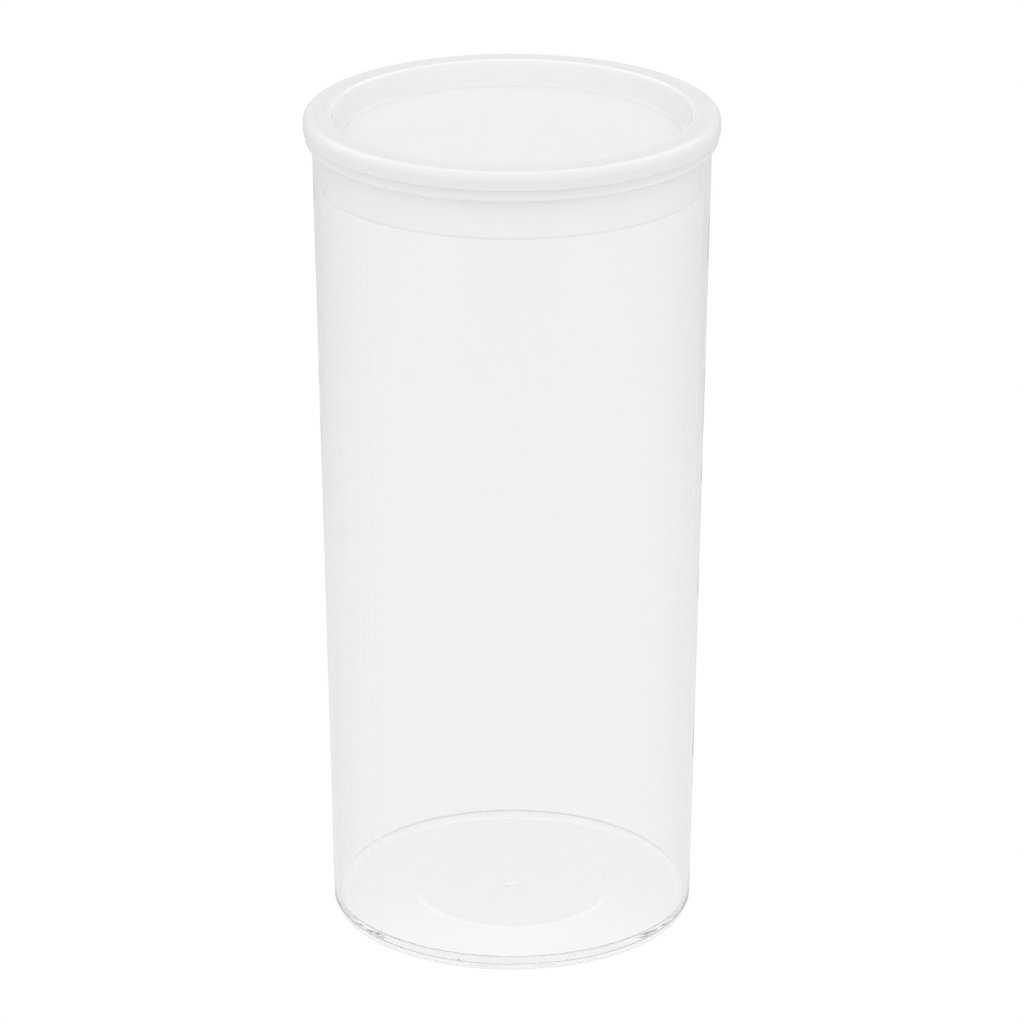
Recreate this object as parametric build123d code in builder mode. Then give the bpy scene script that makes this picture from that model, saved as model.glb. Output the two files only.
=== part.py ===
from build123d import *
from math import degrees
import os

# Tennis ball can: a clear tapered tube with a lap seam, a clear base bonded into its foot,
# and a natural polyethylene plug lid that lifts off.
# Frame: +Z up, -Y is the front, origin at the centre of the face the can stands on. Millimetres.

# ---- Tube wall: one clear sheet, rolled slightly conical and welded along a lap ----
can_height = 160.0        # table to rim
rim_diameter = 76.9       # outside of the tube at the rim
foot_diameter = 72.0      # outside of the tube where its line meets the table
wall = 1.2                # sheet thickness
rim_rounding = 0.25       # flame-polished corners of the rim

seam_width = 3.0          # lap of the sheet, along the rim
seam_rise = 0.2           # how far the pressed lap stands out of the tube
seam_below_rim = 0.5      # the lap stops short of the rim, clear of the lid
seam_direction = 222.5    # degrees from +X, to the left of the front

# ---- Base: one clear moulding, a flange under the tube and a plug inside it ----
foot_height = 1.3         # flange that the tube stands on
foot_rounding = 1.1       # outer lower corner of the flange
foot_ring_width = 2.2     # flat ring that meets the table
floor_height = 2.9        # table to the face the balls rest on
plug_rounding = 0.3       # corner of the plug, inside the tube
recess_depth = 0.25       # hollow of the underside, rising from the foot ring to the round field
bond_gap = 0.03           # cement between plug and tube
disc_diameter = 40.6      # shallow round field in the underside
disc_depth = 0.05
gate_diameter = 3.0       # stub of the moulding gate, in the middle of the underside
gate_height = 0.15

# ---- Lid: one soft moulding, a grip flange, a collar, a plug skirt and a sunk panel ----
flange_overhang = 1.7     # flange beyond the rim's outside
flange_thickness = 3.4
flange_top_rounding = 1.6
flange_under_rounding = 0.25
collar_height = 2.3       # between the rim and the flange
collar_overhang = 1.3     # collar beyond the rim's outside
collar_rounding = 1.0     # outer lower corner of the collar
skirt_depth = 8.1         # plug below the rim
skirt_wall = 1.3
skirt_clearance = 0.15    # round the skirt, inside the tube
skirt_tip_rounding = 0.5
top_ring_width = 5.25     # flat ring round the sunk panel
panel_drop = 4.9          # lid's top to the panel
panel_thickness = 1.2
recess_lean = 2.1         # how far the recess wall leans inwards on its way down
recess_wall = 1.4
recess_top_rounding = 0.6
panel_edge_rounding = 0.9

# ---- Sizes that follow ----
rim_radius = rim_diameter / 2
foot_radius = foot_diameter / 2
seam_arc = degrees(seam_width / rim_radius)


def outer_radius(height):
    """Outside radius of the conical tube at a height above the table."""
    return foot_radius + (rim_radius - foot_radius) * height / can_height


def inner_radius(height):
    """Inside radius of the tube at a height above the table."""
    return outer_radius(height) - wall


def corner(sketch, radius, height):
    """The sketch's corner nearest to a radius and a height."""
    return sketch.vertices().sort_by_distance((radius, height))[0]


# ---- Tube wall ----
seam_top = can_height - seam_below_rim
seam_root = wall / 2
seam_plane = Plane.XZ.rotated((0, 0, seam_direction - seam_arc / 2))

with BuildPart() as tube_wall:
    with BuildSketch(Plane.XZ) as tube_profile:
        with BuildLine():
            Polyline(
                (inner_radius(foot_height), foot_height),
                (outer_radius(foot_height), foot_height),
                (rim_radius, can_height),
                (rim_radius - wall, can_height),
                close=True,
            )
        make_face()
        fillet(corner(tube_profile, rim_radius, can_height), rim_rounding)
        fillet(corner(tube_profile, rim_radius - wall, can_height), rim_rounding)
    revolve(axis=Axis.Z)
    with BuildSketch(seam_plane):
        with BuildLine():
            Polyline(
                (outer_radius(foot_height) - seam_root, foot_height),
                (outer_radius(foot_height) + seam_rise, foot_height),
                (outer_radius(seam_top) + seam_rise, seam_top),
                (outer_radius(seam_top) - seam_root, seam_top),
                close=True,
            )
        make_face()
    revolve(axis=Axis.Z, revolution_arc=seam_arc)

# ---- Base ----
flange_radius = outer_radius(foot_height)
ring_inner_radius = flange_radius - foot_rounding - foot_ring_width
disc_ceiling = recess_depth + disc_depth
disc_radius = disc_diameter / 2
gate_radius = gate_diameter / 2

with BuildPart() as base:
    with BuildSketch(Plane.XZ) as base_profile:
        with BuildLine():
            Polyline(
                (0, disc_ceiling - gate_height),
                (gate_radius, disc_ceiling - gate_height),
                (gate_radius, disc_ceiling),
                (disc_radius, disc_ceiling),
                (disc_radius, recess_depth),
                (ring_inner_radius, 0),
                (flange_radius, 0),
                (flange_radius, foot_height),
                (inner_radius(foot_height) - bond_gap, foot_height),
                (inner_radius(floor_height) - bond_gap, floor_height),
                (0, floor_height),
                close=True,
            )
        make_face()
        fillet(corner(base_profile, flange_radius, 0), foot_rounding)
        fillet(corner(base_profile, inner_radius(floor_height), floor_height), plug_rounding)
    revolve(axis=Axis.Z)

# ---- Lid ----
flange_radius_top = rim_radius + flange_overhang
flange_underside = can_height + collar_height
lid_top = flange_underside + flange_thickness
panel_top = lid_top - panel_drop
panel_underside = panel_top - panel_thickness
collar_radius = rim_radius + collar_overhang
skirt_tip = can_height - skirt_depth
skirt_top_radius = inner_radius(can_height) - skirt_clearance
skirt_tip_radius = inner_radius(skirt_tip) - skirt_clearance
recess_top_radius = flange_radius_top - top_ring_width


def recess_radius(height):
    """Radius of the leaning recess wall's face at a height above the table."""
    return recess_top_radius - recess_lean * (lid_top - height) / panel_drop


with BuildPart() as lid:
    with BuildSketch(Plane.XZ) as lid_profile:
        with BuildLine():
            Polyline(
                (0, panel_underside),
                (recess_radius(panel_underside) + recess_wall, panel_underside),
                (recess_radius(flange_underside) + recess_wall, flange_underside),
                (skirt_top_radius - skirt_wall, flange_underside),
                (skirt_tip_radius - skirt_wall, skirt_tip),
                (skirt_tip_radius, skirt_tip),
                (skirt_top_radius, can_height),
                (collar_radius, can_height),
                (collar_radius, flange_underside),
                (flange_radius_top, flange_underside),
                (flange_radius_top, lid_top),
                (recess_top_radius, lid_top),
                (recess_radius(panel_top), panel_top),
                (0, panel_top),
                close=True,
            )
        make_face()
        fillet(corner(lid_profile, flange_radius_top, lid_top), flange_top_rounding)
        fillet(corner(lid_profile, flange_radius_top, flange_underside), flange_under_rounding)
        fillet(corner(lid_profile, collar_radius, can_height), collar_rounding)
        fillet(corner(lid_profile, skirt_tip_radius, skirt_tip), skirt_tip_rounding)
        fillet(corner(lid_profile, recess_top_radius, lid_top), recess_top_rounding)
        fillet(corner(lid_profile, recess_radius(panel_top), panel_top), panel_edge_rounding)
    revolve(axis=Axis.Z)

# ---- One STEP file for each piece ----
os.makedirs("parts", exist_ok=True)

tube_wall.part.label = "tube_wall"
base.part.label = "base"
lid.part.label = "lid"

export_step(tube_wall.part, "parts/tube_wall.step")
export_step(base.part, "parts/base.step")
export_step(lid.part, "parts/lid.step")
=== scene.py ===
"""Looks of a clear tennis ball can: a tapered tube with a lap seam, a bonded base and a milky plug lid.

Every piece is turned from its half section by a Geometry Nodes tree, in metres, in the frame of the
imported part: +Z up the can's axis, -Y to the front, the origin in the middle of the face it stands on.
"""
import logging
import math
from dataclasses import dataclass, field
from enum import Enum
from typing import Any, Mapping, Sequence

import bpy
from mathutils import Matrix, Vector


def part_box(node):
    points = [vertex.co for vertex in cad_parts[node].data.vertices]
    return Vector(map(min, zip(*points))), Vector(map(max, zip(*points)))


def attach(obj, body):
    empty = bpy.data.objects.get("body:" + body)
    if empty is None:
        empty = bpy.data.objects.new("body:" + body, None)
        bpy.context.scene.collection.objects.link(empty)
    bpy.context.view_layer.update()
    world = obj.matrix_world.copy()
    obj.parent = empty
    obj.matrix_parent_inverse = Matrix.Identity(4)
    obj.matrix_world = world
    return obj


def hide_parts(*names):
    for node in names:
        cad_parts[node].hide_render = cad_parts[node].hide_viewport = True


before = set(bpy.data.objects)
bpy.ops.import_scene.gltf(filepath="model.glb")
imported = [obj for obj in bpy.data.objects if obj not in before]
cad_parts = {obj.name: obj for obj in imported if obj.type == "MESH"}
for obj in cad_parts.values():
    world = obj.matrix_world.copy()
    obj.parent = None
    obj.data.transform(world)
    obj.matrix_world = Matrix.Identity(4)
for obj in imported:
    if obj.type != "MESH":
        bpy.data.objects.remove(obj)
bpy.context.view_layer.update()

log = logging.getLogger("ball_can")
MM = 0.001
MERGE_DISTANCE = 0.0005 * MM


# ---------------------------------------------------------------------------------------------
# Nodes and colours
# ---------------------------------------------------------------------------------------------
def add_node(tree: bpy.types.NodeTree, kind: str, feeds: Mapping[Any, Any] | None = None,
             **settings: Any) -> bpy.types.Node:
    """Adds one node with its settings and what feeds its inputs.

    Args:
        tree: The node tree that gets the node.
        kind: The node's type name.
        feeds: For each input, by name or number, a value, the output socket that is linked to it, or
            a node, which stands for its first output.
        settings: The node's own properties.

    Returns:
        The new node.
    """
    node = tree.nodes.new(kind)
    for name, value in settings.items():
        setattr(node, name, value)
    for key, value in (feeds or {}).items():
        socket = node.inputs[key]
        if isinstance(value, bpy.types.Node):
            tree.links.new(value.outputs[0], socket)
        elif isinstance(value, bpy.types.NodeSocket):
            tree.links.new(value, socket)
        else:
            socket.default_value = value
    return node


def linear(hex_colour: str) -> tuple[float, float, float, float]:
    """Turns an sRGB hex colour to linear light, by the standard's own curve.

    Args:
        hex_colour: The colour as "#rrggbb".

    Returns:
        Red, green and blue, linear, and full alpha.
    """
    digits = hex_colour.lstrip("#")
    channels = [int(digits[i:i + 2], 16) / 255 for i in (0, 2, 4)]
    light = [c / 12.92 if c <= 0.04045 else ((c + 0.055) / 1.055) ** 2.4 for c in channels]
    return light[0], light[1], light[2], 1.0


# ---------------------------------------------------------------------------------------------
# Half sections
# ---------------------------------------------------------------------------------------------
@dataclass(frozen=True)
class Corner:
    """A corner of a half section: its radius and height, and how it is rounded, in millimetres."""

    radius: float
    height: float
    rounding: float = 0.0


@dataclass(frozen=True)
class HalfSection:
    """A half section of straight runs and rounded corners, solid on its left-hand side, in millimetres."""

    corners: Sequence[Corner]
    closed: bool  # a ring of corners; an open one starts and ends on the axis
    longest_step: float = 6.0  # between two points along a straight run
    arc_steps: int = 8  # in an arc of 1 mm radius or more
    fewest_arc_steps: int = 3
    hold: float = 0.12  # how far from its arc a holding point stands
    hold_share: float = 0.3  # and the most of a short run that it may take
    eased: float = 0.08  # radius of a corner that has no rounding of its own

    def points(self) -> list[Vector]:
        """Works out the section's points.

        Returns:
            Points (radius, 0, height) in metres, in order. Each corner is an arc that is tangent to
            both runs, with a point close by on each run that keeps the flats flat.
        """
        count = len(self.corners)
        flat = [Vector((c.radius, c.height)) for c in self.corners]
        reach = [self._reach(i, flat) for i in range(count)]
        path: list[Vector] = []
        for i in range(count):
            before, after = (i - 1) % count, (i + 1) % count
            if reach[i] == 0:
                path.append(flat[i])
                continue
            lead = self._hold((flat[i] - flat[before]).length, reach[i], reach[before])
            trail = self._hold((flat[i] - flat[after]).length, reach[i], reach[after])
            path += self._arc(flat[before], flat[i], flat[after], reach[i], lead, trail)
        if self.closed:
            path.append(path[0].copy())
        return [Vector((p.x * MM, 0, p.y * MM)) for p in self._fill(path)]

    def _reach(self, i: int, flat: Sequence[Vector]) -> float:
        """Works out how far from a corner its arc starts.

        Args:
            i: The corner's number.
            flat: All corners as flat vectors.

        Returns:
            The distance, or 0 at the ends of an open section.
        """
        last = len(flat) - 1
        if not self.closed and i in (0, last):
            return 0.0
        way_in = flat[i] - flat[i - 1]
        way_out = flat[(i + 1) % len(flat)] - flat[i]
        radius = self.corners[i].rounding or self.eased
        return radius * math.tan(abs(way_in.angle_signed(way_out)) / 2)

    def _hold(self, run: float, own: float, other: float) -> float:
        """How far before its arc a corner's holding point stands on a run."""
        return min(self.hold, self.hold_share * (run - own - other))

    def _arc(self, before: Vector, at: Vector, after: Vector, reach: float,
             lead: float, trail: float) -> list[Vector]:
        """Rounds one corner.

        Args:
            before: The corner before it.
            at: The corner.
            after: The corner after it.
            reach: How far from the corner the arc starts and ends.
            lead: How far before the arc the first holding point stands.
            trail: How far after the arc the second holding point stands.

        Returns:
            The arc's points with a holding point on each side.
        """
        way_in = (at - before).normalized()
        way_out = (after - at).normalized()
        bend = way_in.angle_signed(way_out)
        radius = reach / math.tan(abs(bend) / 2)
        steps = max(self.fewest_arc_steps, round(self.arc_steps * min(1.0, radius)))
        start = at - way_in * reach
        side = Vector((way_in.y, -way_in.x)) * (1 if bend > 0 else -1)
        centre = start + side * radius
        arm = start - centre
        arc = [centre + self._turned(arm, -bend * k / steps) for k in range(steps + 1)]
        return [start - way_in * lead, *arc, arc[-1] + way_out * trail]

    @staticmethod
    def _turned(arm: Vector, angle: float) -> Vector:
        """Turns a flat vector counter-clockwise by an angle in radians."""
        c, s = math.cos(angle), math.sin(angle)
        return Vector((arm.x * c - arm.y * s, arm.x * s + arm.y * c))

    def _fill(self, path: Sequence[Vector]) -> list[Vector]:
        """Adds points along the runs that are longer than the longest step.

        Args:
            path: The section's points so far.

        Returns:
            The same points with the added ones between them.
        """
        filled = [path[0]]
        for a, b in zip(path, path[1:]):
            steps = max(1, math.ceil((b - a).length / self.longest_step))
            filled += [a.lerp(b, k / steps) for k in range(1, steps + 1)]
        return filled


# ---------------------------------------------------------------------------------------------
# Geometry Nodes: turning a half section, and pressing the lap into a tube
# ---------------------------------------------------------------------------------------------
@dataclass(frozen=True)
class LapSeam:
    """The tube's welded lap, and the nick that its corner leaves in the rim. Sizes in metres."""

    direction: float = math.radians(222.5)  # from +X: left of the front
    width: float = 3.0 * MM
    rise: float = 0.05 * MM  # how far the pressed lap stands out
    ramp: float = 0.6 * MM  # width of each sloping flank
    below_rim: float = 0.5 * MM  # the lap stops short of the rim, clear of the lid
    fade: float = 1.0 * MM  # height over which the lap and the nick run out
    crowding: float = 0.82  # how much the tube's steps crowd to the seam, so that it comes out sharp
    nick_offset: float = 2.6 * MM  # from the seam's middle, round the rim
    nick_width: float = 0.9 * MM
    nick_depth: float = 0.15 * MM


def new_tree(name: str, sizes: Mapping[str, str]) -> tuple[bpy.types.NodeTree, bpy.types.Node]:
    """Starts a Geometry Nodes tree with a geometry in and out and named sizes.

    Args:
        name: The tree's name.
        sizes: Each further input's name and socket type.

    Returns:
        The tree and its input node.
    """
    tree = bpy.data.node_groups.new(name, "GeometryNodeTree")
    tree.interface.new_socket("Geometry", in_out="INPUT", socket_type="NodeSocketGeometry")
    for size, socket_type in sizes.items():
        tree.interface.new_socket(size, in_out="INPUT", socket_type=socket_type)
    tree.interface.new_socket("Geometry", in_out="OUTPUT", socket_type="NodeSocketGeometry")
    return tree, tree.nodes.new("NodeGroupInput")


def close_tree(tree: bpy.types.NodeTree, given: bpy.types.Node, geometry: bpy.types.Node) -> None:
    """Ends a tree: smooth faces, realized instances, the piece's material.

    Args:
        tree: The tree to end.
        given: Its input node, which has a Material input.
        geometry: The node that gives the finished geometry.
    """
    smooth = add_node(tree, "GeometryNodeSetShadeSmooth", {"Geometry": geometry})
    real = add_node(tree, "GeometryNodeRealizeInstances", {"Geometry": smooth})
    painted = add_node(tree, "GeometryNodeSetMaterial",
                       {"Geometry": real, "Material": given.outputs["Material"]})
    add_node(tree, "NodeGroupOutput", {0: painted})


def turning_tree() -> bpy.types.NodeTree:
    """Builds the tree that turns a half section about Z.

    The section's points are one side of a grid and the steps round the axis the other. The steps
    are crowded to one side by taking a share of a sine wave off each even angle.

    Returns:
        The tree.
    """
    tree, given = new_tree("turned_section", {
        "Points": "NodeSocketInt",
        "Segments": "NodeSocketInt",
        "Crowd direction": "NodeSocketFloat",
        "Crowding": "NodeSocketFloat",
        "Material": "NodeSocketMaterial",
    })
    size = given.outputs
    rings = add_node(tree, "ShaderNodeMath", {0: size["Segments"], 1: 1}, operation="ADD")
    grid = add_node(tree, "GeometryNodeMeshGrid", {"Vertices X": size["Points"], "Vertices Y": rings})
    index = add_node(tree, "GeometryNodeInputIndex")

    # which point of the section a corner of the grid belongs to; the half keeps it off a whole number
    off_whole = add_node(tree, "ShaderNodeMath", {0: index, 1: 0.5}, operation="ADD")
    row = add_node(tree, "ShaderNodeMath", {0: off_whole, 1: rings}, operation="DIVIDE")
    along = add_node(tree, "ShaderNodeMath", {0: row}, operation="FLOOR")

    # how far round it stands
    step = add_node(tree, "ShaderNodeMath", {0: index, 1: rings}, operation="FLOORED_MODULO")
    round_axis = add_node(tree, "ShaderNodeMath", {0: step, 1: math.tau}, operation="MULTIPLY")
    even = add_node(tree, "ShaderNodeMath", {0: round_axis, 1: size["Segments"]}, operation="DIVIDE")
    off_crowd = add_node(tree, "ShaderNodeMath", {0: even, 1: size["Crowd direction"]},
                         operation="SUBTRACT")
    wave = add_node(tree, "ShaderNodeMath", {0: off_crowd}, operation="SINE")
    shift = add_node(tree, "ShaderNodeMath", {0: wave, 1: size["Crowding"]}, operation="MULTIPLY")
    angle = add_node(tree, "ShaderNodeMath", {0: even, 1: shift}, operation="SUBTRACT")

    place = add_node(tree, "GeometryNodeInputPosition")
    point = add_node(tree, "GeometryNodeSampleIndex",
                     {"Geometry": size["Geometry"], "Value": place, "Index": along},
                     data_type="FLOAT_VECTOR", domain="POINT")
    turned = add_node(tree, "ShaderNodeVectorRotate", {"Vector": point, "Angle": angle},
                      rotation_type="Z_AXIS")
    placed = add_node(tree, "GeometryNodeSetPosition", {"Geometry": grid, "Position": turned})
    merged = add_node(tree, "GeometryNodeMergeByDistance",
                      {"Geometry": placed, "Distance": MERGE_DISTANCE})
    outward = add_node(tree, "GeometryNodeFlipFaces", {"Mesh": merged})
    close_tree(tree, given, outward)
    return tree


def lap_tree() -> bpy.types.NodeTree:
    """Builds the tree that raises the lap on a turned tube and nicks its rim.

    Returns:
        The tree.
    """
    tree, given = new_tree("pressed_lap", {
        "Direction": "NodeSocketFloat",
        "Width": "NodeSocketFloat",
        "Ramp": "NodeSocketFloat",
        "Rise": "NodeSocketFloat",
        "Lap top": "NodeSocketFloat",
        "Rim": "NodeSocketFloat",
        "Fade": "NodeSocketFloat",
        "Middle radius": "NodeSocketFloat",
        "Draft": "NodeSocketFloat",
        "Nick offset": "NodeSocketFloat",
        "Nick width": "NodeSocketFloat",
        "Nick depth": "NodeSocketFloat",
        "Material": "NodeSocketMaterial",
    })
    size = given.outputs

    # the tube unrolled: distance from the axis, and from the seam's middle round the tube
    place = add_node(tree, "GeometryNodeInputPosition")
    split = add_node(tree, "ShaderNodeSeparateXYZ", {0: place}).outputs
    x_squared = add_node(tree, "ShaderNodeMath", {0: split["X"], 1: 2}, operation="POWER")
    y_squared = add_node(tree, "ShaderNodeMath", {0: split["Y"], 1: 2}, operation="POWER")
    squared = add_node(tree, "ShaderNodeMath", {0: x_squared, 1: y_squared}, operation="ADD")
    radius = add_node(tree, "ShaderNodeMath", {0: squared}, operation="SQRT")
    angle = add_node(tree, "ShaderNodeMath", {0: split["Y"], 1: split["X"]}, operation="ARCTAN2")
    off_angle = add_node(tree, "ShaderNodeMath", {0: angle, 1: size["Direction"]}, operation="SUBTRACT")
    off_seam = add_node(tree, "ShaderNodeMath", {0: off_angle, 1: math.pi, 2: -math.pi},
                        operation="WRAP")
    across = add_node(tree, "ShaderNodeMath", {0: off_seam, 1: radius}, operation="MULTIPLY")

    # the lap: a plateau with sloping flanks, on the outside only, that runs out below the rim
    edge = add_node(tree, "ShaderNodeMath", {0: size["Width"], 1: 2}, operation="DIVIDE")
    flank = add_node(tree, "ShaderNodeMath", {0: edge, 1: size["Ramp"]}, operation="SUBTRACT")
    from_seam = add_node(tree, "ShaderNodeMath", {0: across}, operation="ABSOLUTE")
    past_flank = add_node(tree, "ShaderNodeMapRange",
                          {"Value": from_seam, "From Min": flank, "From Max": edge},
                          interpolation_type="SMOOTHSTEP")
    plateau = add_node(tree, "ShaderNodeMath", {0: 1, 1: past_flank}, operation="SUBTRACT")
    middle = add_node(tree, "ShaderNodeMath",
                      {0: split["Z"], 1: size["Draft"], 2: size["Middle radius"]},
                      operation="MULTIPLY_ADD")
    outside = add_node(tree, "ShaderNodeMath", {0: radius, 1: middle}, operation="GREATER_THAN")
    lap_end = add_node(tree, "ShaderNodeMath", {0: size["Lap top"], 1: size["Fade"]},
                       operation="SUBTRACT")
    past_end = add_node(tree, "ShaderNodeMapRange",
                        {"Value": split["Z"], "From Min": lap_end, "From Max": size["Lap top"]},
                        interpolation_type="SMOOTHSTEP")
    below = add_node(tree, "ShaderNodeMath", {0: 1, 1: past_end}, operation="SUBTRACT")
    on_wall = add_node(tree, "ShaderNodeMath", {0: plateau, 1: outside}, operation="MULTIPLY")
    on_lap = add_node(tree, "ShaderNodeMath", {0: on_wall, 1: below}, operation="MULTIPLY")
    lift = add_node(tree, "ShaderNodeMath", {0: on_lap, 1: size["Rise"]}, operation="MULTIPLY")
    cosine = add_node(tree, "ShaderNodeMath", {0: angle}, operation="COSINE")
    sine = add_node(tree, "ShaderNodeMath", {0: angle}, operation="SINE")
    away = add_node(tree, "ShaderNodeCombineXYZ", {"X": cosine, "Y": sine})
    outward = add_node(tree, "ShaderNodeVectorMath", {0: away, "Scale": lift}, operation="SCALE")

    # the nick: a soft dip in the rim beside the lap
    off_nick = add_node(tree, "ShaderNodeMath", {0: across, 1: size["Nick offset"]},
                        operation="SUBTRACT")
    from_nick = add_node(tree, "ShaderNodeMath", {0: off_nick}, operation="ABSOLUTE")
    past_nick = add_node(tree, "ShaderNodeMapRange",
                         {"Value": from_nick, "From Min": 0, "From Max": size["Nick width"]},
                         interpolation_type="SMOOTHSTEP")
    in_nick = add_node(tree, "ShaderNodeMath", {0: 1, 1: past_nick}, operation="SUBTRACT")
    rim_start = add_node(tree, "ShaderNodeMath", {0: size["Rim"], 1: size["Fade"]},
                         operation="SUBTRACT")
    near_rim = add_node(tree, "ShaderNodeMapRange",
                        {"Value": split["Z"], "From Min": rim_start, "From Max": size["Rim"]},
                        interpolation_type="SMOOTHSTEP")
    dip = add_node(tree, "ShaderNodeMath", {0: in_nick, 1: near_rim}, operation="MULTIPLY")
    deepest = add_node(tree, "ShaderNodeMath", {0: size["Nick depth"], 1: -1}, operation="MULTIPLY")
    drop = add_node(tree, "ShaderNodeMath", {0: dip, 1: deepest}, operation="MULTIPLY")
    downward = add_node(tree, "ShaderNodeCombineXYZ", {"Z": drop})

    offset = add_node(tree, "ShaderNodeVectorMath", {0: outward, 1: downward}, operation="ADD")
    placed = add_node(tree, "GeometryNodeSetPosition", {"Geometry": size["Geometry"], "Offset": offset})
    close_tree(tree, given, placed)
    return tree


def run_tree(piece: bpy.types.Object, tree: bpy.types.NodeTree, values: Mapping[str, Any]) -> None:
    """Runs a tree on a piece and keeps the result as the piece's plain mesh.

    Args:
        piece: The object whose mesh goes in and is replaced.
        tree: The Geometry Nodes tree.
        values: The tree's named inputs.
    """
    modifier = piece.modifiers.new(tree.name, "NODES")
    modifier.node_group = tree
    named = {item.name: item.identifier for item in tree.interface.items_tree if item.in_out == "INPUT"}
    for name, value in values.items():
        modifier[named[name]] = value
    result = piece.evaluated_get(bpy.context.evaluated_depsgraph_get())
    mesh = bpy.data.meshes.new_from_object(result)
    piece.modifiers.remove(modifier)
    mesh.materials.clear()
    mesh.materials.append(values["Material"])
    old = piece.data
    piece.data = mesh
    bpy.data.meshes.remove(old)
    mesh.name = piece.name


def turn(name: str, section: HalfSection, material: bpy.types.Material, segments: int,
         crowd_direction: float = 0.0, crowding: float = 0.0) -> bpy.types.Object:
    """Turns a half section into a piece.

    Args:
        name: The piece's name.
        section: Its half section.
        material: Its finish.
        segments: Steps round the axis.
        crowd_direction: Where the steps crowd together, in radians from +X.
        crowding: How much they do, from 0 to under 1.

    Returns:
        The piece, a plain mesh at the origin.
    """
    points = section.points()
    mesh = bpy.data.meshes.new(name)
    mesh.from_pydata([tuple(p) for p in points], [(i, i + 1) for i in range(len(points) - 1)], [])
    piece = bpy.data.objects.new(name, mesh)
    bpy.context.scene.collection.objects.link(piece)
    run_tree(piece, TREES["turn"], {
        "Points": len(points),
        "Segments": segments,
        "Crowd direction": crowd_direction,
        "Crowding": crowding,
        "Material": material,
    })
    return piece


TREES = {"turn": turning_tree(), "lap": lap_tree()}


# ---------------------------------------------------------------------------------------------
# Finishes
# ---------------------------------------------------------------------------------------------
class Pattern(Enum):
    """How coarse each pattern on a surface is, in millimetres between its waves or cells."""

    SHEET_RIPPLE = 14.0  # the slow waviness that rolled or moulded clear plastic keeps
    MOULD_SKIN = 0.55  # drawn coarser than a real mould's fine grain, which would be too fine to show
    CLOUD = 9.0  # how the milky plastic's gloss drifts over the lid
    SPECK = 11.0  # one cell; few cells hold a speck


@dataclass(frozen=True)
class ClearPlastic:
    """Rigid clear PVC. It has hardly any colour of its own and shows by its gloss, and by the light
    that its edges and thick places gather from the side."""

    name: str
    colour: str  # a trace of blue, as the stabilised plastic has
    ripple_height: float  # of the surface's slow waves, in millimetres
    seed: float  # where in the noise the ripple is taken from
    passed_light: str = "#fefefe"  # what is left of the light that lights a matt surface behind it
    ior: float = 1.54
    roughness: float = 0.0
    ripple_detail: float = 2.0

    def build(self) -> bpy.types.Material:
        """Makes the material: clear refraction with a faint ripple.

        Light on its way to a matt surface passes straight through, so that what stands inside is
        lit as in a real clear can.

        Returns:
            The material.
        """
        material = bpy.data.materials.new(self.name)
        material.use_nodes = True
        tree = material.node_tree
        tree.nodes.clear()
        coords = add_node(tree, "ShaderNodeTexCoord").outputs["Object"]
        placed = add_node(tree, "ShaderNodeMapping", {"Vector": coords, "Location": (self.seed, 0, 0)})
        ripple = add_node(tree, "ShaderNodeTexNoise", {
            "Vector": placed,
            "Scale": 1 / (Pattern.SHEET_RIPPLE.value * MM),
            "Detail": self.ripple_detail,
        })
        relief = add_node(tree, "ShaderNodeBump", {
            "Height": ripple,
            "Strength": 1.0,
            "Distance": self.ripple_height * MM,
        })
        clear = add_node(tree, "ShaderNodeBsdfPrincipled", {
            "Base Color": linear(self.colour),
            "Roughness": self.roughness,
            "IOR": self.ior,
            "Transmission Weight": 1.0,
            "Normal": relief,
        })
        passed = add_node(tree, "ShaderNodeBsdfTransparent", {"Color": linear(self.passed_light)})
        path = add_node(tree, "ShaderNodeLightPath").outputs
        shadow = add_node(tree, "ShaderNodeMixShader", {0: path["Is Shadow Ray"], 1: clear, 2: passed})
        lit = add_node(tree, "ShaderNodeMixShader", {0: path["Is Diffuse Ray"], 1: shadow, 2: passed})
        add_node(tree, "ShaderNodeOutputMaterial", {"Surface": lit})
        return material


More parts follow.
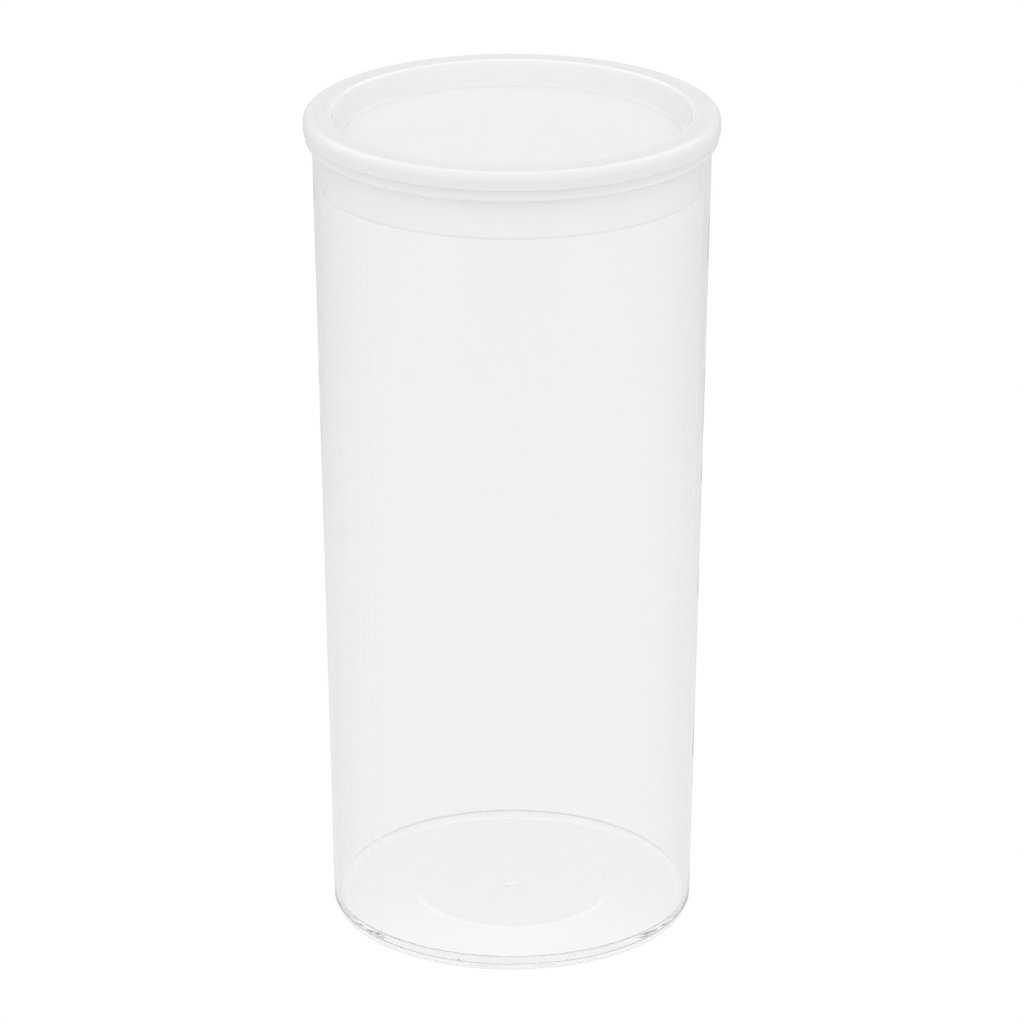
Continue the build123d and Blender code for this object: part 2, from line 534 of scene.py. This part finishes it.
@dataclass(frozen=True)
class MilkyPolyethylene:
    """Natural low-density polyethylene, moulded: milky through its depth and waxy on its skin, so
    that its edges look soft; on the recess wall and the skirt a lighter colour paints in the light that
    comes through from behind."""

    name: str = "natural_ldpe_moulded"
    colour: str = "#ebebed"
    painted_backlight_colour: str = "#fbfaf9"  # painted light: a lighter colour that stands in for light coming through from behind
    wall_low: float = 161.3 * MM  # foot of the thin recess wall
    wall_radius: float = 33.9 * MM  # middle of the recess wall
    wall_reach: float = 1.3 * MM  # how far to each side of it the painted backlight reaches
    wall_fade: float = 0.4 * MM  # width over which this starts
    wall_margin: float = 0.6 * MM  # how far below the wall's foot it starts
    skirt_low: float = 152.5 * MM  # the painted backlight on the plug skirt, from this level up to the rim's level
    skirt_high: float = 160.0 * MM
    roughness: float = 0.18
    smoothest: float = 0.03  # how far the clouding takes the roughness down
    dullest: float = 0.05  # and up
    cloud_detail: float = 3.0
    skin_detail: float = 2.0
    skin_strength: float = 0.35
    skin_height: float = 0.02  # of the mould's grain, in millimetres
    ior: float = 1.51
    depth: float = 1.5  # how far light scatters inside, in millimetres
    scatter: tuple[float, float, float] = (1.0, 0.98, 0.95)  # red goes a little deeper than blue
    speck_colour: str = "#a8a29c"
    speck_size: float = 0.014  # as a share of a cell
    speck_share: float = 0.82  # share of the cells that hold none

    def painted_backlight_mask(self, tree: bpy.types.NodeTree, coords: bpy.types.NodeSocket) -> bpy.types.Node:
        """Marks where light coming through from behind is painted into the colour.

        Args:
            tree: The material's node tree.
            coords: The piece's own coordinates.

        Returns:
            The node that gives 1 on the recess wall and on the skirt, and 0 elsewhere.
        """
        split = add_node(tree, "ShaderNodeSeparateXYZ", {0: coords}).outputs
        flat = add_node(tree, "ShaderNodeCombineXYZ", {0: split["X"], 1: split["Y"]})
        radius = add_node(tree, "ShaderNodeVectorMath", {0: flat}, operation="LENGTH").outputs["Value"]
        off = add_node(tree, "ShaderNodeMath", {0: radius, 1: self.wall_radius}, operation="SUBTRACT")
        away = add_node(tree, "ShaderNodeMath", {0: off}, operation="ABSOLUTE")
        beside = add_node(tree, "ShaderNodeMapRange", {
            "Value": away,
            "From Min": self.wall_reach - self.wall_fade,
            "From Max": self.wall_reach,
            "To Min": 1.0,
            "To Max": 0.0,
        }, interpolation_type="SMOOTHSTEP")
        above = add_node(tree, "ShaderNodeMath", {0: split["Z"], 1: self.wall_low - self.wall_margin},
                         operation="GREATER_THAN")
        wall = add_node(tree, "ShaderNodeMath", {0: beside, 1: above}, operation="MULTIPLY")
        middle = (self.skirt_low + self.skirt_high) / 2
        skirt = add_node(tree, "ShaderNodeMath", {0: split["Z"], 1: middle, 2: middle - self.skirt_low},
                         operation="COMPARE")
        return add_node(tree, "ShaderNodeMath", {0: wall, 1: skirt}, operation="MAXIMUM")

    def build(self) -> bpy.types.Material:
        """Makes the material: light scattered in its depth, painted backlight on the recess wall and the
        skirt, a fine mould skin, soft clouding in the gloss and a few grey specks.

        Returns:
            The material.
        """
        material = bpy.data.materials.new(self.name)
        material.use_nodes = True
        tree = material.node_tree
        tree.nodes.clear()
        coords = add_node(tree, "ShaderNodeTexCoord").outputs["Object"]
        cloud = add_node(tree, "ShaderNodeTexNoise", {
            "Vector": coords,
            "Scale": 1 / (Pattern.CLOUD.value * MM),
            "Detail": self.cloud_detail,
        })
        skin = add_node(tree, "ShaderNodeTexNoise", {
            "Vector": coords,
            "Scale": 1 / (Pattern.MOULD_SKIN.value * MM),
            "Detail": self.skin_detail,
        })
        gloss = add_node(tree, "ShaderNodeMapRange", {
            "Value": cloud,
            "To Min": self.roughness - self.smoothest,
            "To Max": self.roughness + self.dullest,
        })
        relief = add_node(tree, "ShaderNodeBump", {
            "Height": skin,
            "Strength": self.skin_strength,
            "Distance": self.skin_height * MM,
        })
        cell = add_node(tree, "ShaderNodeTexVoronoi", {
            "Vector": coords,
            "Scale": 1 / (Pattern.SPECK.value * MM),
        }).outputs
        near = add_node(tree, "ShaderNodeMath", {0: cell["Distance"], 1: self.speck_size},
                        operation="LESS_THAN")
        pick = add_node(tree, "ShaderNodeSeparateXYZ", {0: cell["Color"]}).outputs["X"]
        rare = add_node(tree, "ShaderNodeMath", {0: pick, 1: self.speck_share},
                        operation="GREATER_THAN")
        speck = add_node(tree, "ShaderNodeMath", {0: near, 1: rare}, operation="MULTIPLY")
        # painted light: the recess wall and the skirt are mixed towards a lighter colour that stands in
        # for light coming through from behind
        milk_with_painted_backlight = add_node(tree, "ShaderNodeMixRGB", {
            0: self.painted_backlight_mask(tree, coords),
            1: linear(self.colour),
            2: linear(self.painted_backlight_colour),
        })
        colour = add_node(tree, "ShaderNodeMixRGB", {0: speck, 1: milk_with_painted_backlight, 2: linear(self.speck_colour)})
        milky = add_node(tree, "ShaderNodeBsdfPrincipled", {
            "Base Color": colour,
            "Roughness": gloss,
            "IOR": self.ior,
            "Subsurface Weight": 1.0,
            "Subsurface Radius": self.scatter,
            "Subsurface Scale": self.depth * MM,
            "Normal": relief,
        })
        add_node(tree, "ShaderNodeOutputMaterial", {"Surface": milky})
        return material


# Rolled clear sheet: a mirror gloss on both faces, with slow waves that bend what is seen through it.
CLEAR_WALL = ClearPlastic("clear_pvc_sheet", "#fafafb", ripple_height=0.02, seed=0.0)

# Injection moulded clear plastic: the same gloss, flatter faces, and light gathered in its rim.
CLEAR_BASE = ClearPlastic("clear_pvc_moulded", "#fbfbfc", ripple_height=0.01, seed=0.7)

# Moulded soft plastic: milky white with a waxy sheen, and painted light that makes the recess wall and the
# skirt lighter.
MILKY_LID = MilkyPolyethylene()


# ---------------------------------------------------------------------------------------------
# Pieces
# ---------------------------------------------------------------------------------------------
def box_mm(node: str) -> tuple[float, float, float]:
    """A round node's outside radius, and its lowest and highest level, in millimetres."""
    low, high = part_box(node)
    return max(high.x, high.y, -low.x, -low.y) / MM, low.z / MM, high.z / MM


@dataclass
class Tube:
    """The clear tapered tube with its lap seam. Sizes in millimetres."""

    wall: float = 1.2
    rim_rounding: float = 0.25
    segments: int = 400
    seam: LapSeam = field(default_factory=LapSeam)

    def build(self) -> bpy.types.Object:
        """Turns the wall, presses its lap and puts it in the tube's place.

        Returns:
            The piece.
        """
        rim_radius, foot, rim = box_mm("tube_wall")
        foot_radius = box_mm("base")[0]
        section = HalfSection([
            Corner(foot_radius, foot),
            Corner(rim_radius, rim, self.rim_rounding),
            Corner(rim_radius - self.wall, rim, self.rim_rounding),
            Corner(foot_radius - self.wall, foot),
        ], closed=True)
        tube = turn("clear_tube", section, CLEAR_WALL.build(), self.segments,
                    self.seam.direction, self.seam.crowding)
        draft = (rim_radius - foot_radius) / (rim - foot)
        run_tree(tube, TREES["lap"], {
            "Direction": self.seam.direction,
            "Width": self.seam.width,
            "Ramp": self.seam.ramp,
            "Rise": self.seam.rise,
            "Lap top": rim * MM - self.seam.below_rim,
            "Rim": rim * MM,
            "Fade": self.seam.fade,
            "Middle radius": (foot_radius - self.wall / 2 - draft * foot) * MM,
            "Draft": draft,
            "Nick offset": self.seam.nick_offset,
            "Nick width": self.seam.nick_width,
            "Nick depth": self.seam.nick_depth,
            "Material": tube.data.materials[0],
        })
        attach(tube, "can")
        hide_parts("tube_wall")
        return tube


@dataclass
class Base:
    """The clear base: a flange under the tube and a plug inside it. Sizes in millimetres."""

    wall: float = 1.2  # of the tube that stands on it
    foot_rounding: float = 1.1  # outer edge of the foot
    ring_width: float = 2.2  # flat ring it stands on
    recess_depth: float = 0.15  # hollow of the underside, up to the edge of the round field
    recess_rounding: float = 30.0  # where the ring runs into the hollow
    flange_edge: float = 0.12  # upper outer edge, under the tube's end
    plug_rounding: float = 0.3
    bond_gap: float = 0.03  # between the plug and the tube
    disc_radius: float = 20.3  # round field in the middle
    disc_depth: float = 0.05
    disc_slope: float = 1.2  # width of its sloping edge
    gate_radius: float = 1.5  # the mark where the plastic was let into the mould
    gate_flat: float = 0.6  # share of its radius that is flat
    gate_height: float = 0.15
    soft_rounding: float = 0.6  # edges of the gate mark and the round field
    segments: int = 256

    def build(self) -> bpy.types.Object:
        """Turns the base and puts it in the base's place.

        Returns:
            The piece.
        """
        radius, low, floor = box_mm("base")
        rim_radius, foot, rim = box_mm("tube_wall")
        draft = (rim_radius - radius) / (rim - foot)
        plug = radius - self.wall - self.bond_gap
        ring = radius - self.foot_rounding - self.ring_width
        disc = self.recess_depth + self.disc_depth
        section = HalfSection([
            Corner(0, disc - self.gate_height),
            Corner(self.gate_flat * self.gate_radius, disc - self.gate_height, self.soft_rounding),
            Corner(self.gate_radius, disc, self.soft_rounding),
            Corner(self.disc_radius - self.disc_slope, disc, self.soft_rounding),
            Corner(self.disc_radius, self.recess_depth, self.soft_rounding),
            Corner(ring, low, self.recess_rounding),
            Corner(radius, low, self.foot_rounding),
            Corner(radius, foot, self.flange_edge),
            Corner(plug, foot),
            Corner(plug + draft * (floor - foot), floor, self.plug_rounding),
            Corner(0, floor),
        ], closed=False)
        base = turn("clear_base", section, CLEAR_BASE.build(), self.segments)
        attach(base, "can")
        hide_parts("base")
        return base


@dataclass
class Lid:
    """The milky plug lid. Sizes in millimetres."""

    flange_thickness: float = 3.4
    flange_top_rounding: float = 1.6
    flange_under_rounding: float = 0.25
    collar_overhang: float = 1.3  # how far the collar on the rim stands past it
    collar_rounding: float = 1.0
    collar_top_rounding: float = 0.12  # where the collar meets the flange
    seat_gap: float = 0.01  # between the collar and the rim
    seat_rounding: float = 0.1  # where the skirt meets the collar
    skirt_wall: float = 1.3
    skirt_clearance: float = 0.15  # between the skirt and the tube
    tube_wall: float = 1.2
    skirt_tip_rounding: float = 0.5  # outer edge of the skirt's tip, which leads it in
    skirt_tip_inner: float = 0.3  # its inner edge
    groove_rounding: float = 0.2  # corners of the groove between the skirt and the recess wall
    top_ring_width: float = 5.25
    panel_drop: float = 4.9  # how far the panel is sunk below the top ring
    panel_thickness: float = 1.2
    panel_under_rounding: float = 0.5
    panel_edge_rounding: float = 0.9
    recess_lean: float = 2.1  # how far the recess wall leans in from top to panel
    recess_wall: float = 1.4
    recess_top_rounding: float = 0.6
    longest_step: float = 4.0
    segments: int = 256

    def recess_radius(self, top: float, flange_radius: float, height: float) -> float:
        """Radius of the leaning recess wall at a height, from the lid's top level and radius."""
        return flange_radius - self.top_ring_width - self.recess_lean * (top - height) / self.panel_drop

    def build(self) -> bpy.types.Object:
        """Turns the lid and puts it in the lid's place.

        Returns:
            The piece.
        """
        radius, tip, top = box_mm("lid")
        rim_radius, foot, rim = box_mm("tube_wall")
        draft = (rim_radius - box_mm("base")[0]) / (rim - foot)
        under = top - self.flange_thickness
        panel = top - self.panel_drop
        panel_under = panel - self.panel_thickness
        skirt = rim_radius - self.tube_wall - self.skirt_clearance
        skirt_tip = skirt - draft * (rim - tip)
        inner_low = self.recess_radius(top, radius, panel_under) + self.recess_wall
        inner_high = self.recess_radius(top, radius, under) + self.recess_wall
        collar = rim_radius + self.collar_overhang
        section = HalfSection([
            Corner(0, panel_under),
            Corner(inner_low, panel_under, self.panel_under_rounding),
            Corner(inner_high, under, self.groove_rounding),
            Corner(skirt - self.skirt_wall, under, self.groove_rounding),
            Corner(skirt_tip - self.skirt_wall, tip, self.skirt_tip_inner),
            Corner(skirt_tip, tip, self.skirt_tip_rounding),
            Corner(skirt, rim + self.seat_gap, self.seat_rounding),
            Corner(collar, rim + self.seat_gap, self.collar_rounding),
            Corner(collar, under, self.collar_top_rounding),
            Corner(radius, under, self.flange_under_rounding),
            Corner(radius, top, self.flange_top_rounding),
            Corner(radius - self.top_ring_width, top, self.recess_top_rounding),
            Corner(self.recess_radius(top, radius, panel), panel, self.panel_edge_rounding),
            Corner(0, panel),
        ], closed=False, longest_step=self.longest_step)
        lid = turn("plug_lid", section, MILKY_LID.build(), self.segments)
        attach(lid, "lid")
        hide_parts("lid")
        return lid


# ---------------------------------------------------------------------------------------------
# Studio
# ---------------------------------------------------------------------------------------------
@dataclass(frozen=True)
class Studio:
    """A pale floor in a white light tent.

    Seen straight or through something clear, floor and tent are plain white. Mirrored in the can they
    are darker, brightest at the high bank behind, which gives the clear plastic its quiet gloss. A
    third level is the light that runs along inside the clear plastic, and a fourth lights matt
    surfaces, mostly from above and in front. Sizes in metres.
    """

    floor_size: float = 8.0
    straight_light: float = 1.0  # seen straight or through something clear
    guided_light: float = 1.04  # after two mirrorings or more: guided inside the plastic

    # the floor, mirrored
    near: float = 0.10  # up to here from the can's axis it has the near level
    far: float = 0.45  # and from here on the far level
    near_light: float = 0.79
    far_light: float = 0.71
    gap_light: float = 0.95  # factor straight behind the can and straight in front of it
    gap_half_width: float = math.radians(24)
    gap_fade: float = math.radians(14)
    lit_floor: float = 0.90  # the level that lights matt surfaces

    # the tent, mirrored
    sky_light: float = 0.80
    bank_light: float = 1.75
    bank_low: float = 0.42  # sine of the elevation at which the bank starts
    bank_low_fade: float = 0.1
    bank_front: float = 0.05  # how far behind the can's middle it starts, from 0 at the side to 1
    bank_front_fade: float = 0.3

    # the tent as it lights matt surfaces: a broad soft lamp above the front
    lit_around: float = 0.78
    lit_above: float = 1.14
    lamp_elevation: float = math.radians(62)
    lamp_edge: float = 0.35  # cosine of the angle from the lamp's middle where it ends
    lamp_core: float = 0.85  # and where it is full

    def seen_light(self, tree: bpy.types.NodeTree, mirrored: bpy.types.Node,
                   lighting: bpy.types.Node | float) -> bpy.types.Node:
        """Picks a brightness for each way of meeting the floor or the tent.

        Args:
            tree: The node tree that gets the nodes.
            mirrored: The brightness where it is mirrored once.
            lighting: The brightness with which it lights a matt surface.

        Returns:
            The node that gives the brightness.
        """
        path = add_node(tree, "ShaderNodeLightPath").outputs
        light = self.straight_light
        # each depth lies half way between two whole numbers of mirrorings
        for depth, level in ((0.5, mirrored), (1.5, self.guided_light)):
            deep = add_node(tree, "ShaderNodeMath", {0: path["Glossy Depth"], 1: depth},
                            operation="GREATER_THAN")
            light = add_node(tree, "ShaderNodeMapRange", {"Value": deep, "To Min": light, "To Max": level})
        return add_node(tree, "ShaderNodeMapRange", {
            "Value": path["Is Diffuse Ray"],
            "To Min": light,
            "To Max": lighting,
        })

    def build(self) -> None:
        """Makes the floor and the tent."""
        mesh = bpy.data.meshes.new("studio_floor")
        half = self.floor_size / 2
        square = [(-half, -half, 0), (half, -half, 0), (half, half, 0), (-half, half, 0)]
        mesh.from_pydata(square, [], [(0, 1, 2, 3)])
        floor = bpy.data.objects.new("studio_floor", mesh)
        bpy.context.scene.collection.objects.link(floor)
        mesh.materials.append(self.floor_material())
        self.tent()

    def tent(self) -> None:
        """Makes the world: a bank behind and above for what is mirrored, a lamp for what is lit."""
        world = bpy.data.worlds.new("light_tent")
        bpy.context.scene.world = world
        world.use_nodes = True
        tree = world.node_tree
        tree.nodes.clear()
        coords = add_node(tree, "ShaderNodeTexCoord").outputs["Generated"]
        split = add_node(tree, "ShaderNodeSeparateXYZ", {0: coords}).outputs
        bank = add_node(tree, "ShaderNodeMapRange", {
            "Value": split["Z"],
            "From Min": self.bank_low,
            "From Max": self.bank_low + self.bank_low_fade,
            "To Min": 0.0,
            "To Max": self.bank_light - self.sky_light,
        }, interpolation_type="SMOOTHSTEP")
        behind = add_node(tree, "ShaderNodeMapRange", {
            "Value": split["Y"],
            "From Min": self.bank_front,
            "From Max": self.bank_front + self.bank_front_fade,
            "To Min": 0.0,
            "To Max": 1.0,
        }, interpolation_type="SMOOTHSTEP")
        mirrored = add_node(tree, "ShaderNodeMath", {0: bank, 1: behind, 2: self.sky_light},
                            operation="MULTIPLY_ADD")
        lamp = (0.0, -math.cos(self.lamp_elevation), math.sin(self.lamp_elevation))
        towards = add_node(tree, "ShaderNodeVectorMath", {0: coords, 1: lamp}, operation="DOT_PRODUCT")
        lighting = add_node(tree, "ShaderNodeMapRange", {
            "Value": towards.outputs["Value"],
            "From Min": self.lamp_edge,
            "From Max": self.lamp_core,
            "To Min": self.lit_around,
            "To Max": self.lit_above,
        }, interpolation_type="SMOOTHSTEP")
        sky = add_node(tree, "ShaderNodeBackground", {
            "Color": (1, 1, 1, 1),
            "Strength": self.seen_light(tree, mirrored, lighting),
        })
        add_node(tree, "ShaderNodeOutputWorld", {"Surface": sky})

    def floor_material(self) -> bpy.types.Material:
        """Makes white paper lit from below and above, so that it has hardly any shadow.

        Returns:
            The material.
        """
        material = bpy.data.materials.new("white_paper_sweep")
        material.use_nodes = True
        tree = material.node_tree
        tree.nodes.clear()
        coords = add_node(tree, "ShaderNodeTexCoord").outputs["Object"]
        away = add_node(tree, "ShaderNodeVectorMath", {0: coords}, operation="LENGTH").outputs["Value"]
        pool = add_node(tree, "ShaderNodeMapRange", {
            "Value": away,
            "From Min": self.near,
            "From Max": self.far,
            "To Min": self.near_light,
            "To Max": self.far_light,
        }, interpolation_type="SMOOTHSTEP")
        split = add_node(tree, "ShaderNodeSeparateXYZ", {0: coords}).outputs
        turned = add_node(tree, "ShaderNodeMath", {0: split["X"], 1: split["Y"]}, operation="ARCTAN2")
        off_back = add_node(tree, "ShaderNodeMath", {0: turned}, operation="ABSOLUTE")
        off_front = add_node(tree, "ShaderNodeMath", {0: math.pi, 1: off_back}, operation="SUBTRACT")
        nearest = add_node(tree, "ShaderNodeMath", {0: off_back, 1: off_front}, operation="MINIMUM")
        gap = add_node(tree, "ShaderNodeMapRange", {
            "Value": nearest,
            "From Min": self.gap_half_width,
            "From Max": self.gap_half_width + self.gap_fade,
            "To Min": self.gap_light,
            "To Max": 1.0,
        }, interpolation_type="SMOOTHSTEP")
        mirrored = add_node(tree, "ShaderNodeMath", {0: pool, 1: gap}, operation="MULTIPLY")
        glow = add_node(tree, "ShaderNodeEmission", {
            "Color": (1, 1, 1, 1),
            "Strength": self.seen_light(tree, mirrored, self.lit_floor),
        })
        add_node(tree, "ShaderNodeOutputMaterial", {"Surface": glow})
        return material


@dataclass(frozen=True)
class ViewPoint:
    """The camera: a long lens, a little above the can, in front of it. Sizes in metres."""

    elevation: float = math.radians(21.36)
    distance: float = 1.0222
    aim_height: float = 0.0831
    lens: float = 181.9  # in millimetres, as the sensor's width
    sensor_width: float = 36.0
    nearest: float = 0.05  # what the camera shows starts here
    farthest: float = 50.0

    def build(self) -> None:
        """Makes the camera and gives it to the scene."""
        data = bpy.data.cameras.new("camera")
        data.lens = self.lens
        data.sensor_width = self.sensor_width
        data.clip_start = self.nearest
        data.clip_end = self.farthest
        camera = bpy.data.objects.new("camera", data)
        bpy.context.scene.collection.objects.link(camera)
        away = Vector((0, -math.cos(self.elevation), math.sin(self.elevation)))
        camera.location = Vector((0, 0, self.aim_height)) + away * self.distance
        camera.rotation_euler = (math.pi / 2 - self.elevation, 0, 0)
        bpy.context.scene.camera = camera


@dataclass(frozen=True)
class LightPaths:
    """How often light may bounce. Light that runs along inside thick clear plastic is mirrored many
    times before it leaves, and would end black where the usual limits stop it."""

    total: int = 32
    through_clear: int = 32
    mirrored: int = 24
    scattered: int = 6

    def build(self) -> None:
        """Gives the scene its limits."""
        cycles = bpy.context.scene.cycles
        cycles.max_bounces = self.total
        cycles.transmission_bounces = self.through_clear
        cycles.glossy_bounces = self.mirrored
        cycles.diffuse_bounces = self.scattered


def main() -> None:
    """Builds the can's pieces, the studio and the camera, in that order."""
    logging.basicConfig(level=logging.INFO, format="%(name)s: %(message)s")
    bpy.context.scene.view_settings.view_transform = "Standard"
    LightPaths().build()
    for part in (Tube(), Base(), Lid()):
        piece = part.build()
        log.info("%s has %d vertices", piece.name, len(piece.data.vertices))
    Studio().build()
    ViewPoint().build()


if __name__ == "__main__":
    main()
